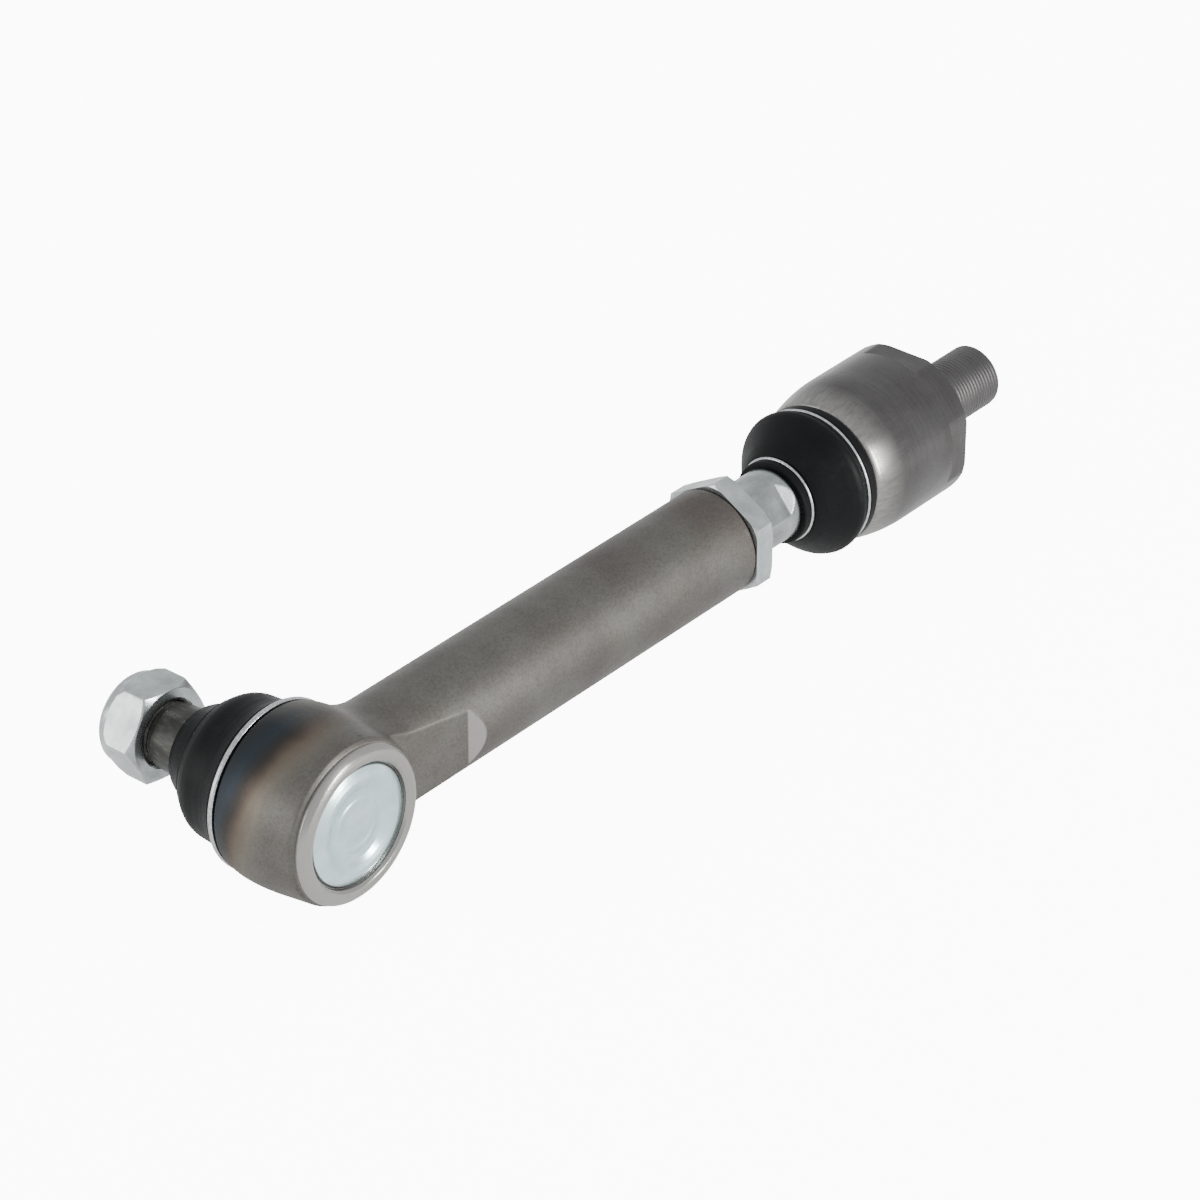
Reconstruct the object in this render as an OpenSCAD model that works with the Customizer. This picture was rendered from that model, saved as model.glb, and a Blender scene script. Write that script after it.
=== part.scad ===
// Tie rod with a ball stud at its outer end and an axial ball joint at its inner end.
// Origin: centre of the inner housing's back shoulder, at the foot of the threaded spigot.
// +X runs along the rod to the threaded spigot, +Y along the ball stud to its nut, +Z up.

/* [Overall] */
// Distance from the outer ball centre to the inner housing's back shoulder
joint_span = 293; // [289:1:323]
// Gap left between pieces that move against each other
running_gap = 0.3; // [0.2:0.05:0.4]
// Radial clearance of threads and sliding fits
fit_clearance = 0.05; // [0.02:0.01:0.1]

/* [Outer socket and barrel] */
// Largest outer diameter of the socket
socket_dia = 57; // [56:0.5:60]
// Diameter of the rolled lip around the end cap
lip_dia = 50.8; // [50:0.2:52]
// Bore of the socket that holds the seats
socket_bore_dia = 41; // [40:0.5:42]
// Narrowest diameter of the opening that the stud passes through
throat_dia = 31.4; // [31:0.1:32]
// Diameter of the round barrel
barrel_dia = 36; // [34:0.5:38]
// Distance from the outer ball centre to the barrel's open end
barrel_length = 190.5; // [186:0.5:191]
// Depth of the threaded hole in the barrel
barrel_bore_depth = 62; // [60:1:80]
// Distance across the two forged flats where they fade out
neck_flat_width = 30.6; // [29:0.2:33]
// Slope of the forged flats towards the socket, in degrees
neck_flat_slope = 5.4; // [3:0.1:6]

/* [Outer ball stud] */
// Diameter of the outer ball
outer_ball_dia = 33; // [32:0.5:33.5]
// Diameter of the neck between ball and taper
stud_neck_dia = 18.4; // [17:0.2:19]
// Diameter of the taper at its wide end
taper_dia = 24; // [23.4:0.1:24]
// Length of taper for each millimetre that its diameter shrinks
taper_ratio = 8; // [8:1:12]
// Thread diameter of the stud
stud_thread_dia = 20; // [19:0.5:20]
// Width across flats of the stud nut
stud_nut_flats = 30; // [29:1:32]
// Height of the stud nut's hexagon
stud_nut_height = 10.5; // [10:0.1:11]

/* [Inner rod] */
// Thread diameter of the adjusting shank
shank_dia = 24; // [23.6:0.1:24]
// Diameter of the collar with the spanner flats
collar_dia = 25; // [24.8:0.1:26]
// Distance across the spanner flats of the collar
collar_flats = 22; // [21:0.2:23]
// Direction that the spanner flats face, in degrees from +Y towards +Z
collar_flat_angle = 140; // [0:5:180]
// Width across flats of the lock nut
lock_nut_flats = 36; // [35:1:38]
// Height of the lock nut
lock_nut_height = 8; // [7:0.5:8.5]
// Diameter of the inner ball
inner_ball_dia = 33; // [32:0.5:33.5]
// Diameter of the neck behind the inner ball
rod_neck_dia = 17; // [16:0.2:17.4]

/* [Inner housing] */
// Outer diameter of the inner housing
housing_dia = 54.4; // [54:0.2:56]
// Length of the inner housing from its front edge to its back shoulder
housing_length = 48; // [47:0.5:49]
// Distance from the inner ball centre to the back shoulder
inner_ball_depth = 33; // [32.5:0.5:33.5]
// Distance across the four spanner flats at the back
housing_flats = 50; // [49:0.5:52]
// Length of the spanner flats along the rod
housing_flat_length = 10; // [7:0.5:14]
// Thread diameter of the spigot that screws into the steering rack
spigot_dia = 22; // [20:0.5:24]
// Length of the threaded spigot
spigot_length = 39; // [30:1:45]

/* [Hidden] */
$fn = 96;
eps = 0.01;

// Places along the rod
outer_x = -joint_span;
barrel_end_x = outer_x + barrel_length;
inner_x = -inner_ball_depth;
housing_front_x = -housing_length;

// Outer socket, measured along the stud axis from the ball centre
socket_r = socket_dia / 2;
lip_r = lip_dia / 2;
socket_bore_r = socket_bore_dia / 2;
throat_r = throat_dia / 2;
lip_front = -22.4;
cap_face = -21.4;
cap_seat = -18.2;
cap_r = 22.9;
lip_inner_r = 20.3;
socket_shoulder = 11.5;
socket_top = 16;
boot_spigot_r = 24.3;
seat_split = 0.3;
ball_gap = 0.1;

// Barrel and neck, measured along the rod from the outer ball centre
barrel_r = barrel_dia / 2;
flat_end = 55.3;
flat_ramp = 5.6;
neck_fillet_r = 24;

// Ball stud
outer_ball_r = outer_ball_dia / 2;
stud_neck_r = stud_neck_dia / 2;
taper_r = taper_dia / 2;
neck_end = 20;
taper_start = 30.4;
taper_end = 53;
taper_tip_r = taper_r - (taper_end - taper_start) / taper_ratio / 2;
stud_thread_r = stud_thread_dia / 2;
stud_end = 73;

// Stud nut
nut_start = 55;
nut_hex_end = nut_start + stud_nut_height;
nut_angle = 6;
nut_face_r = 14.8;
nut_collar_r = 14.6;
nut_collar_end = nut_hex_end + 6.9;
lock_nut_face_r = 19.3;
insert_r = 12;
insert_start = nut_hex_end + 1.1;
insert_end = insert_start + 2.8;

// Outer boot
boot_bead_groove_r = 25.9;
clamp_ring_r = 27.25;
clamp_ring_start = 12.05;
clamp_ring_width = 1.4;
lip_ring_start = 39.6;
lip_ring_width = 2;
lip_ring_inner_r = 12.1;
lip_ring_outer_r = 13.3;
boot_lip_end = 44;
boot_lip_r = taper_r - (boot_lip_end - 2 - taper_start) / taper_ratio / 2 + running_gap;

// Inner rod
shank_r = shank_dia / 2;
shank_tip_x = barrel_end_x - 45;
collar_r = collar_dia / 2;
collar_start_x = barrel_end_x + running_gap + lock_nut_height + 1.4;
collar_end_x = housing_front_x - 24.6;
collar_flat_end_x = collar_end_x - 4.6;
inner_ball_r = inner_ball_dia / 2;
rod_neck_r = rod_neck_dia / 2;
boot_seat_r = 12;
boot_seat_end_x = housing_front_x - 18.5;
rod_neck_x = housing_front_x - 14;

// Inner housing
housing_r = housing_dia / 2;
nose_r = 21.5;
nose_tip_x = housing_front_x - 7;
housing_bore_r = 20.6;
housing_bore_back_x = -8.6;
pocket_r = 16.4;
pocket_front_x = -15;
retainer_r = 15.7;
front_edge_r = housing_r - 3.65;
shoulder_curve = 21;
washer_thickness = 2;
washer_back_x = housing_bore_back_x - 3.3;
seat_back_x = washer_back_x - washer_thickness;

// Inner boot wires
small_wire_x = housing_front_x - 20.5;
small_wire_ring_r = 14.15;
large_wire_x = housing_front_x - 3;
large_wire_ring_r = 23.65;
wire_r = 0.6;

// Points of an arc, each as [radius, height]
function arc(centre, r, from, to, steps) =
    [for (i = [0:steps]) centre + r * [cos(from + (to - from) * i / steps), sin(from + (to - from) * i / steps)]];

// Turns a profile of [radius, x] points about the rod axis
module turn_x(points) {
    rotate([0, 90, 0])
        rotate_extrude()
            polygon(points);
}

// Turns a profile of [radius, y] points about the stud axis
module turn_y(points) {
    translate([outer_x, 0, 0])
        rotate([-90, 0, 0])
            rotate_extrude()
                polygon(points);
}

module rod_cylinder(x, r, length) {
    translate([x, 0, 0])
        rotate([0, 90, 0])
            cylinder(r = r, h = length);
}

module stud_cylinder(y, r, length) {
    translate([outer_x, y, 0])
        rotate([-90, 0, 0])
            cylinder(r = r, h = length);
}

module outer_ball(r) {
    translate([outer_x, 0, 0])
        rotate([-90, 0, 0])
            sphere(r = r);
}

module inner_ball(r) {
    translate([inner_x, 0, 0])
        rotate([0, 90, 0])
            sphere(r = r);
}

// Outside of a hexagon nut standing on z = 0, with its corners turned off at both faces
module hex_blank(flats, height, face_r) {
    corner_r = flats / sqrt(3);
    corner_drop = (corner_r - face_r) * tan(30);
    intersection() {
        cylinder(r = corner_r, h = height, $fn = 6);
        rotate_extrude()
            polygon([[0, 0], [face_r, 0], [corner_r, corner_drop], [corner_r, height - corner_drop],
                [face_r, height], [0, height]]);
    }
}

// Torus of round wire about the rod axis
module wire_ring(x, ring_r) {
    translate([x, 0, 0])
        rotate([0, 90, 0])
            rotate_extrude()
                translate([ring_r, 0])
                    circle(r = wire_r, $fn = 24);
}

// Barrelled outside of the socket, with the rolled lip and the step for the boot
module socket_outside() {
    belly_r = 130;
    turn_y(concat(
        [[0, lip_front]],
        [[lip_inner_r + 0.9, lip_front]],
        arc([lip_r - 2.6, lip_front + 2.6], 2.6, -90, 0, 6),
        [[lip_r, lip_front + 2.9], [lip_r + 0.5, lip_front + 3.2], [lip_r + 1.1, lip_front + 4]],
        arc([socket_r - belly_r, 0], belly_r, asin((lip_front + 5) / belly_r), asin((socket_shoulder - 1.4) / belly_r), 8),
        [[socket_r - 1.2, socket_shoulder - 0.5], [socket_r - 1.9, socket_shoulder]],
        [[boot_spigot_r, socket_shoulder], [boot_spigot_r, socket_top - 0.8]],
        [[boot_spigot_r - 0.8, socket_top], [0, socket_top]]
    ));
}

// Hollow of the socket: cap seat, straight bore, cone against the upper seat, flared mouth
module socket_hollow() {
    turn_y([
        [0, lip_front - 1], [lip_inner_r + 0.6, lip_front - 1], [lip_inner_r + 0.6, lip_front + 0.4],
        [lip_inner_r, cap_face - 0.1], [lip_inner_r, cap_face], [cap_r, cap_face], [cap_r, cap_seat],
        [socket_bore_r, cap_seat], [socket_bore_r, 8.6], [throat_r, 10.8], [throat_r, 11.8],
        [throat_r + 2.3, socket_top], [throat_r + 2.3, socket_top + 1], [0, socket_top + 1]
    ]);
}

// Wedge that planes one flat on the neck: it starts in the socket and ramps out to the round barrel
module neck_flat_cutter() {
    half = neck_flat_width / 2;
    start = 12;
    drop = (flat_end - start) * tan(neck_flat_slope);
    translate([outer_x, 0, -socket_r])
        linear_extrude(height = socket_dia)
            polygon([[start, half - drop], [flat_end, half], [flat_end + flat_ramp, barrel_r + 0.05],
                [flat_end + flat_ramp, 2 * barrel_r], [start, 2 * barrel_r]]);
}

// Round barrel whose foot swells in a fillet where it grows out of the socket
module barrel_blank() {
    centre_x = sqrt(pow(socket_r + neck_fillet_r, 2) - pow(barrel_r + neck_fillet_r, 2));
    turn_x(concat(
        [[0, outer_x]],
        [for (p = arc([barrel_r + neck_fillet_r, outer_x + centre_x], neck_fillet_r, 218, 180, 8)) p],
        [[barrel_r, barrel_end_x - 1.2], [barrel_r - 1.2, barrel_end_x], [0, barrel_end_x]]
    ));
}

module tie_rod_end() {
    bore_r = shank_r + fit_clearance;
    color("#6f6a64")
        difference() {
            union() {
                socket_outside();
                difference() {
                    barrel_blank();
                    neck_flat_cutter();
                    mirror([0, 1, 0])
                        neck_flat_cutter();
                    stud_cylinder(socket_shoulder, clamp_ring_r + 0.75, barrel_dia);
                }
            }
            socket_hollow();
            turn_x([[0, barrel_end_x - barrel_bore_depth - 5], [bore_r - 1.5, barrel_end_x - barrel_bore_depth],
                [bore_r, barrel_end_x - barrel_bore_depth], [bore_r, barrel_end_x - 1.2],
                [bore_r + 1.3, barrel_end_x + eps], [0, barrel_end_x + eps]]);
        }
}

// Pressed steel cover under the rolled lip, with a crowned ring round its sunk centre
module end_cap() {
    color("#c9ced2")
        turn_y([
            [0, cap_seat], [cap_r, cap_seat], [cap_r, cap_face], [lip_inner_r + 0.2, cap_face],
            [lip_inner_r - 0.3, cap_face + 0.7], [19.5, cap_face + 0.65], [18.7, cap_face + 0.05],
            [17.2, cap_face - 0.45], [15.2, cap_face - 0.65], [13.2, cap_face - 0.45], [11.8, cap_face],
            [10.8, cap_face + 0.6], [10, cap_face + 0.9], [0, cap_face + 1]
        ]);
}

// Conical disc spring that presses the lower seat against the ball
module cap_disc_spring() {
    seat_bottom = -15.8;
    color("#55585c")
        turn_y([[11, seat_bottom - 1.3], [12, seat_bottom], [12.6, seat_bottom], [19.6, cap_seat + 1.2],
            [19.6, cap_seat], [18.8, cap_seat], [11, seat_bottom - 1.2]]);
}

module lower_seat() {
    seat_bottom = -15.8;
    color("#d9d4c3")
        difference() {
            turn_y([[5.5, seat_bottom], [socket_bore_r - 2, seat_bottom], [socket_bore_r - 0.1, seat_bottom + 3],
                [socket_bore_r - 0.1, -seat_split], [5.5, -seat_split]]);
            outer_ball(outer_ball_r + ball_gap);
        }
}

module upper_seat() {
    color("#d9d4c3")
        difference() {
            turn_y([[10, seat_split], [socket_bore_r - 0.1, seat_split], [socket_bore_r - 0.1, 8.5],
                [throat_r + 0.5, 10.5], [throat_r - 0.4, 10.5], [14.3, 8.6], [10, 8.6]]);
            outer_ball(outer_ball_r + ball_gap);
        }
}

// Ball, neck, taper for the steering arm and threaded end in one forging
module ball_stud() {
    color("#5c5d58")
        union() {
            difference() {
                outer_ball(outer_ball_r);
                stud_cylinder(-outer_ball_r - 1, 6, 1.6);
            }
            turn_y([
                [0, 8], [stud_neck_r, 8], [stud_neck_r, neck_end], [stud_neck_r + 0.15, neck_end + 1],
                [stud_neck_r + 0.5, neck_end + 2.2], [taper_r - 1.4, taper_start - 5.1],
                [taper_r - 0.6, taper_start - 2.6], [taper_r - 0.1, taper_start - 0.8],
                [taper_r, taper_start], [taper_tip_r, taper_end],
                [stud_thread_r - 1.1, taper_end + 0.6], [stud_thread_r - 1.1, taper_end + 1.5],
                [stud_thread_r, taper_end + 2.2], [stud_thread_r, stud_end - 1], [stud_thread_r - 1, stud_end],
                [0, stud_end]
            ]);
        }
}

// Rubber boot: bead in the clamp ring, bulging wall, shiny fold, cone and lip on the taper
module outer_boot() {
    bead_r = boot_spigot_r + fit_clearance;
    bead_start = socket_shoulder + running_gap;
    color("#232425")
        turn_y([
            [bead_r, bead_start], [boot_bead_groove_r, bead_start], [boot_bead_groove_r, 13.75], [26.3, 14.1],
            [26.2, 14.7], [25.5, 15.7], [24.7, 17.6], [24.1, 20], [23.7, 23], [23.6, 26], [23.1, 28.3],
            [22, 30.5], [20.4, 32.2], [19.9, 32.9], [19.2, 33.4], [18.1, 34.2], [16.6, 36], [15.6, 38],
            [14.9, 40], [14.4, 42], [13.9, boot_lip_end - 0.7], [13, boot_lip_end],
            [boot_lip_r, boot_lip_end], [boot_lip_r, boot_lip_end - 2],
            [lip_ring_outer_r + 0.1, 41.8], [lip_ring_outer_r + 0.1, 39.4], [13.2, 38.2], [14.7, 35.8],
            [17, 33.9], [19, 31.9], [20.9, 29.4], [21.7, 27.3], [21.9, 24], [22.3, 20], [23, 17.6],
            [23.8, 16.4], [bead_r, 15.8]
        ]);
}

// Flat band of bright spring steel around the boot's bead
module outer_boot_clamp_ring() {
    color("#d4d6d8")
        turn_y([
            [boot_bead_groove_r + 0.06, clamp_ring_start], [clamp_ring_r - 0.4, clamp_ring_start],
            [clamp_ring_r, clamp_ring_start + 0.4], [clamp_ring_r, clamp_ring_start + clamp_ring_width - 0.4],
            [clamp_ring_r - 0.4, clamp_ring_start + clamp_ring_width],
            [boot_bead_groove_r + 0.06, clamp_ring_start + clamp_ring_width]
        ]);
}

// Steel ring held inside the boot's lip, which keeps the lip tight on the stud
module outer_boot_lip_ring() {
    color("#9a9da0")
        turn_y([
            [lip_ring_inner_r, lip_ring_start], [lip_ring_outer_r, lip_ring_start],
            [lip_ring_outer_r, lip_ring_start + lip_ring_width], [lip_ring_inner_r, lip_ring_start + lip_ring_width]
        ]);
}

// Hexagon lock nut: chamfered hexagon, domed collar and the groove for its insert
module stud_nut() {
    bore_r = stud_thread_r + fit_clearance;
    color("#c3c7ca")
        difference() {
            union() {
                translate([outer_x, nut_start, 0])
                    rotate([-90, 0, 0])
                        rotate([0, 0, nut_angle])
                            hex_blank(stud_nut_flats, stud_nut_height, nut_face_r);
                turn_y([
                    [0, nut_hex_end - 1.6], [nut_collar_r, nut_hex_end - 1.6],
                    [nut_collar_r, nut_collar_end - 4.9], [nut_collar_r - 0.5, nut_collar_end - 2.9],
                    [nut_collar_r - 1.6, nut_collar_end - 1.4], [nut_collar_r - 3.1, nut_collar_end - 0.4],
                    [nut_collar_r - 4, nut_collar_end], [0, nut_collar_end]
                ]);
            }
            turn_y([
                [0, nut_start - eps], [bore_r + 1.4, nut_start - eps], [bore_r, nut_start + 1.3],
                [bore_r, insert_start], [insert_r, insert_start], [insert_r, insert_end],
                [bore_r + 0.6, insert_end], [bore_r + 0.6, nut_collar_end + 1], [0, nut_collar_end + 1]
            ]);
        }
}

module nut_locking_insert() {
    bore_r = stud_thread_r + fit_clearance;
    color("#e8e6dc")
        turn_y([
            [bore_r, insert_start + running_gap], [insert_r - fit_clearance, insert_start + running_gap],
            [insert_r - fit_clearance, insert_end - running_gap], [bore_r, insert_end - running_gap]
        ]);
}

module lock_nut() {
    bore_r = shank_r + fit_clearance;
    start_x = barrel_end_x + running_gap;
    color("#c3c7ca")
        difference() {
            translate([start_x, 0, 0])
                rotate([0, 90, 0])
                    hex_blank(lock_nut_flats, lock_nut_height, lock_nut_face_r);
            turn_x([
                [0, start_x - eps], [bore_r + 1, start_x - eps], [bore_r, start_x + 1],
                [bore_r, start_x + lock_nut_height - 1], [bore_r + 1, start_x + lock_nut_height + eps],
                [0, start_x + lock_nut_height + eps]
            ]);
        }
}

// Wedge that mills one spanner flat on the collar and runs out in a ramp
module collar_flat_cutter() {
    half = collar_flats / 2;
    translate([0, 0, -collar_r])
        linear_extrude(height = collar_dia)
            polygon([[collar_start_x - 1, half], [collar_flat_end_x, half],
                [collar_end_x - 0.4, collar_r + 0.05], [collar_end_x - 0.4, 2 * collar_r],
                [collar_start_x - 1, 2 * collar_r]]);
}

// Threaded shank, collar with two spanner flats, boot seat, slim neck and ball
module inner_rod() {
    color("#b9bec2")
        union() {
            inner_ball(inner_ball_r);
            difference() {
                turn_x([
                    [0, shank_tip_x], [shank_r - 1.5, shank_tip_x], [shank_r, shank_tip_x + 1.5],
                    [shank_r, collar_start_x - 0.8], [shank_r - 0.4, collar_start_x - 0.4],
                    [collar_r - 0.5, collar_start_x], [collar_r, collar_start_x + 0.5],
                    [collar_r, collar_end_x - 0.3], [boot_seat_r, collar_end_x + 0.2],
                    [boot_seat_r, boot_seat_end_x], [rod_neck_r + 1, rod_neck_x - 1.6], [rod_neck_r, rod_neck_x],
                    [rod_neck_r, inner_x - 6], [0, inner_x - 6]
                ]);
                rotate([collar_flat_angle - 90, 0, 0])
                    collar_flat_cutter();
                rotate([collar_flat_angle + 90, 0, 0])
                    collar_flat_cutter();
            }
        }
}

// Turned housing: curved swaged shoulder, slim nose under the boot, spanner square, threaded spigot
module inner_housing() {
    shoulder_r = (pow(shoulder_curve, 2) + pow(housing_r - front_edge_r, 2)) / 2 / (housing_r - front_edge_r);
    shoulder_span = asin(shoulder_curve / shoulder_r);
    shoulder_back_x = housing_front_x + shoulder_curve;
    color("#8b8a88")
        difference() {
            turn_x(concat(
                [[0, nose_tip_x], [nose_r - 0.6, nose_tip_x], [nose_r, nose_tip_x + 0.8]],
                [[nose_r, housing_front_x], [front_edge_r - 1.4, housing_front_x],
                    [front_edge_r - 0.4, housing_front_x + 0.4]],
                arc([housing_r - shoulder_r, shoulder_back_x], shoulder_r, -shoulder_span + 1.5, 0, 8),
                [[housing_r, -0.8], [housing_r - 0.8, 0], [spigot_dia / 2, 0]],
                [[spigot_dia / 2, spigot_length - 1.2], [spigot_dia / 2 - 1.2, spigot_length], [0, spigot_length]]
            ));
            turn_x([
                [0, nose_tip_x - 1], [18.8, nose_tip_x - 1], [18.8, nose_tip_x], [retainer_r, inner_x - 16.5],
                [retainer_r, inner_x - 14.5], [housing_bore_r, inner_x - 12.3],
                [housing_bore_r, pocket_front_x - 4.4], [pocket_r, pocket_front_x],
                [pocket_r, housing_bore_back_x], [0, housing_bore_back_x]
            ]);
            for (side = [0:3])
                rotate([side * 90, 0, 0])
                    translate([-housing_flat_length, housing_flats / 2, -housing_r])
                        cube([housing_flat_length + eps, housing_r, 2 * housing_r]);
        }
}

module front_seat() {
    color("#d9d4c3")
        difference() {
            turn_x([
                [15.3, inner_x - 14.3], [16.1, inner_x - 14.3], [housing_bore_r - 0.1, inner_x - 12.3],
                [housing_bore_r - 0.1, inner_x - seat_split], [10, inner_x - seat_split], [10, inner_x - 9],
                [13.9, inner_x - 9]
            ]);
            inner_ball(inner_ball_r + ball_gap);
        }
}

module rear_seat() {
    color("#d9d4c3")
        difference() {
            turn_x([
                [6, inner_x + seat_split], [housing_bore_r - 0.1, inner_x + seat_split],
                [housing_bore_r - 0.1, pocket_front_x - 4.5], [pocket_r - 0.1, pocket_front_x - 0.1],
                [pocket_r - 0.1, seat_back_x], [6, seat_back_x]
            ]);
            inner_ball(inner_ball_r + ball_gap);
        }
}

module thrust_washer() {
    color("#77797b")
        turn_x([[3, seat_back_x], [pocket_r - 0.3, seat_back_x], [pocket_r - 0.3, washer_back_x],
            [3, washer_back_x]]);
}

// Conical disc spring between the washer and the blind end of the bore
module thrust_disc_spring() {
    color("#55585c")
        turn_x([
            [7, housing_bore_back_x - 1.3], [14.4, washer_back_x], [15.8, washer_back_x],
            [15.8, washer_back_x + 1.3], [8.4, housing_bore_back_x], [7, housing_bore_back_x]
        ]);
}

// Rubber boot: lip on the rod, wide conical wall, round bulge and bead on the housing's nose
module inner_boot() {
    lip_r = boot_seat_r + fit_clearance;
    bead_r = nose_r + fit_clearance;
    front = housing_front_x;
    back_x = front - running_gap;
    small_groove_r = small_wire_ring_r - wire_r - 0.05;
    large_groove_r = large_wire_ring_r - wire_r - 0.05;
    color("#1f2021")
        turn_x([
            [lip_r, collar_end_x + 0.5], [13.9, collar_end_x + 0.5], [14.3, collar_end_x + 0.9],
            [14.3, small_wire_x - 0.8], [small_groove_r, small_wire_x - 0.7], [small_groove_r, small_wire_x + 0.7],
            [15, small_wire_x + 0.9], [16, small_wire_x + 1.8], [17.6, front - 17], [19.2, front - 15],
            [20.9, front - 13], [22.6, front - 11], [24, front - 9.2], [24.8, front - 7.9],
            [25, front - 6.8], [24.7, front - 5.2], [23.9, front - 4.2],
            [large_groove_r, large_wire_x - 0.7], [large_groove_r, large_wire_x + 0.7], [23.9, large_wire_x + 0.9],
            [23.9, back_x - 0.4], [23.5, back_x], [bead_r, back_x], [bead_r, front - 5.4],
            [22.6, front - 6.4], [22.9, front - 7.4], [22.3, front - 9], [20.7, front - 11],
            [18.9, front - 13.2], [17, front - 15.4], [15, front - 17.3], [lip_r, front - 18.6]
        ]);
}

module inner_boot_small_wire() {
    color("#cfd2d4")
        wire_ring(small_wire_x, small_wire_ring_r);
}

module inner_boot_large_wire() {
    color("#cfd2d4")
        wire_ring(large_wire_x, large_wire_ring_r);
}

tie_rod_end();
end_cap();
cap_disc_spring();
lower_seat();
upper_seat();
ball_stud();
outer_boot();
outer_boot_clamp_ring();
outer_boot_lip_ring();
stud_nut();
nut_locking_insert();
lock_nut();
inner_rod();
inner_housing();
front_seat();
rear_seat();
thrust_washer();
thrust_disc_spring();
inner_boot();
inner_boot_small_wire();
inner_boot_large_wire();
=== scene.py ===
import math

import bmesh
import bpy
import numpy as np
from mathutils import Matrix, Vector
from mathutils.geometry import delaunay_2d_cdt


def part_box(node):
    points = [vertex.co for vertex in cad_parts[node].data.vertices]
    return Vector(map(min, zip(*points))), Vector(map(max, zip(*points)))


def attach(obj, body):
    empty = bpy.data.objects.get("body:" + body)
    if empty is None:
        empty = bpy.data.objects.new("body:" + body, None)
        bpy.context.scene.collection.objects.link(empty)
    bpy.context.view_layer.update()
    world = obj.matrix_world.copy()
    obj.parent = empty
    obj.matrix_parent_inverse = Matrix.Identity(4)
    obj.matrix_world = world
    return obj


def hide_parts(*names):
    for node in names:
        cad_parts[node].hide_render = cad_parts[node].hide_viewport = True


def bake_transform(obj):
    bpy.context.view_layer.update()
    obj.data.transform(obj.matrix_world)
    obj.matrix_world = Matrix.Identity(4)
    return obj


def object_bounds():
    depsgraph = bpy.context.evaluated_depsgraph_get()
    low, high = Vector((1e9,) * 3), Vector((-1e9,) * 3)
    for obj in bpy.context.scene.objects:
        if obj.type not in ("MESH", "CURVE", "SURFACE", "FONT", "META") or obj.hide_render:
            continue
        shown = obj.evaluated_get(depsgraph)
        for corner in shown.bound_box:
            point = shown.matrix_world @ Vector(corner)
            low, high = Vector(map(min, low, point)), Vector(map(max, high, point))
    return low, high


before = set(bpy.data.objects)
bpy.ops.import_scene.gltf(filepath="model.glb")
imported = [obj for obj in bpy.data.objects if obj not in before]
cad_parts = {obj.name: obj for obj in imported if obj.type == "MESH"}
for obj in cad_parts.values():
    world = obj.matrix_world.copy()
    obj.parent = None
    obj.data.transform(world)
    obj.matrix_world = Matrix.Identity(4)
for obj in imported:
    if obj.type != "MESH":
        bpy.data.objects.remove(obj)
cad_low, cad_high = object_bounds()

# The object's lengths are in millimetres in the row frame, and a finished mesh is scaled to metres once.
# The studio's are in metres
MM = 0.001

# Places along the rod, measured from the housing's back shoulder
CLAMP_RING_R = 27.25
STUD_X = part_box("outer_boot_clamp_ring")[0].x / MM + CLAMP_RING_R
BARREL_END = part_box("tie_rod_end")[1].x / MM
LOCK_NUT_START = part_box("lock_nut")[0].x / MM
LOCK_NUT_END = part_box("lock_nut")[1].x / MM
HOUSING_FRONT = -48.0
BOOT_LIP_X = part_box("inner_boot")[0].x / MM
INNER_BALL_X = -33.0

# Both joints have balls of one size
BALL_R = 16.5

# Outer socket and barrel
BARREL_R = 18.0
BORE_R = 12.05
FLAT_END = STUD_X + 55.3
FLAT_HALF = 15.3
FLAT_SLOPE = math.tan(math.radians(5.4))
FLAT_RAMP = 2.75 / 5.5
EDGE_ROUNDING = 0.4
WALL_R = 28.49
SHOULDER_Y = 11.5
SHOULDER_R = 26.3
SPOT_FACE_R = 28.0
LIP_START = -19.0
NECK_FILLET = 24.0
NECK_END = 18.5
FOOT_FILLET = 2.8

# Inner housing
HOUSING_R = 27.2
HOUSING_CURVE = 21.0
HOUSING_CURVE_R = 62.2
HOUSING_FLAT = 25.0
HOUSING_FLAT_START = -10.0
WIRE_R = 0.6

# Threads, all of one pitch, and the two hexagons that set the scale
PITCH = 1.5
THREAD_DEPTH = 0.92
BORE_THREAD_DEPTH = 0.75
THREAD_FADE = 0.8
STUD_THREAD_R = 9.98
ROD_THREAD_R = 11.98
SPIGOT_THREAD_R = 10.97
STUD_NUT_FLATS = 30.0
LOCK_NUT_FLATS = 36.0


def linear(hex_colour):
    """An sRGB hex colour as linear RGBA."""
    parts = [int(hex_colour[i:i + 2], 16) / 255 for i in (1, 3, 5)]
    return [p / 12.92 if p <= 0.04045 else ((p + 0.055) / 1.055) ** 2.4 for p in parts] + [1.0]


def add(tree, kind, inputs=(), stops=(), **settings):
    """Adds a shader node. Settings are its own options, inputs are values or sockets to link, and stops are
    ramp colours."""
    made = tree.nodes.new(kind)
    for option, value in settings.items():
        setattr(made, option, value)
    for place, value in dict(inputs).items():
        if isinstance(value, bpy.types.NodeSocket):
            tree.links.new(value, made.inputs[place])
        else:
            made.inputs[place].default_value = value
    for i, (position, colour) in enumerate(stops):
        stop = made.color_ramp.elements[i] if i < 2 else made.color_ramp.elements.new(position)
        stop.position = position
        stop.color = linear(colour)
    return made


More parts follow.
